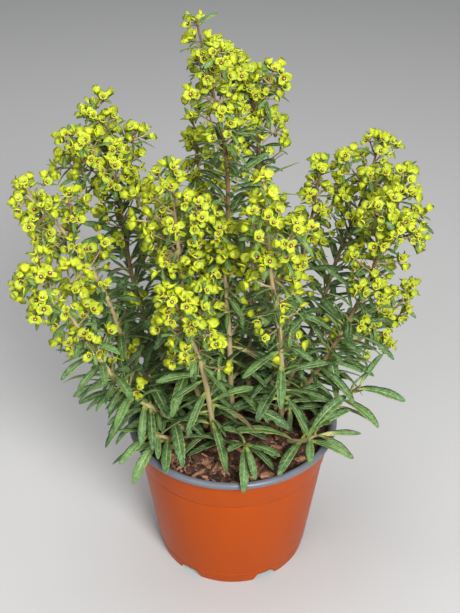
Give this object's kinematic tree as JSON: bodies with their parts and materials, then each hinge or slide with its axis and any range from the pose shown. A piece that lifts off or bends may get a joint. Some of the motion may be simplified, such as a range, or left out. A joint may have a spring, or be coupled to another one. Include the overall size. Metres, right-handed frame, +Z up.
{
  "type": "potted euphorbia",
  "caption": "Bushy euphorbia with narrow leaves and heads of yellow-green cup flowers, standing in bark compost in a round terracotta-coloured plastic nursery pot.",
  "frame": {"origin": "middle of the pot's foot, on the surface that the pot stands on", "axes": "+Z up the pot's axis; -Y towards the front of the plant; +X to its right as seen from the front"},
  "size_m": [0.3378, 0.2405, 0.5137],
  "materials": {
    "pot_plastic": "satin",
    "bark_compost": "matte",
    "leaf_and_stem": "matte",
    "flower": "matte"
  },
  "bodies": {
    "root": {"pot": "pot_plastic", "compost": "bark_compost", "flower_head_back_left": "flower", "flower_head_back_middle": "flower", "flower_head_back_right": "flower", "flower_head_far_left": "flower", "flower_head_far_right": "flower", "flower_head_front_left": "flower", "flower_head_front_right": "flower", "flower_head_left_lower": "flower", "flower_head_left_upper": "flower", "flower_head_middle": "flower", "flower_head_middle_left": "flower", "flower_head_right": "flower", "flower_head_right_middle": "flower", "flower_head_right_tall": "flower", "flower_head_second": "flower", "flower_head_tall": "flower", "leafy_shoot_back": "leaf_and_stem", "leafy_shoot_front": "leaf_and_stem", "leafy_shoot_front_left": "leaf_and_stem", "leafy_shoot_front_right": "leaf_and_stem", "leafy_shoot_left": "leaf_and_stem", "leafy_shoot_left_back": "leaf_and_stem", "leafy_shoot_right": "leaf_and_stem", "leafy_shoot_right_back": "leaf_and_stem", "stem_back_left": "leaf_and_stem", "stem_back_middle": "leaf_and_stem", "stem_back_right": "leaf_and_stem", "stem_far_left": "leaf_and_stem", "stem_far_right": "leaf_and_stem", "stem_front_left": "leaf_and_stem", "stem_front_right": "leaf_and_stem", "stem_left_lower": "leaf_and_stem", "stem_left_upper": "leaf_and_stem", "stem_middle": "leaf_and_stem", "stem_middle_left": "leaf_and_stem", "stem_right": "leaf_and_stem", "stem_right_middle": "leaf_and_stem", "stem_right_tall": "leaf_and_stem", "stem_second": "leaf_and_stem", "stem_tall": "leaf_and_stem"}
  },
  "joints": []
}
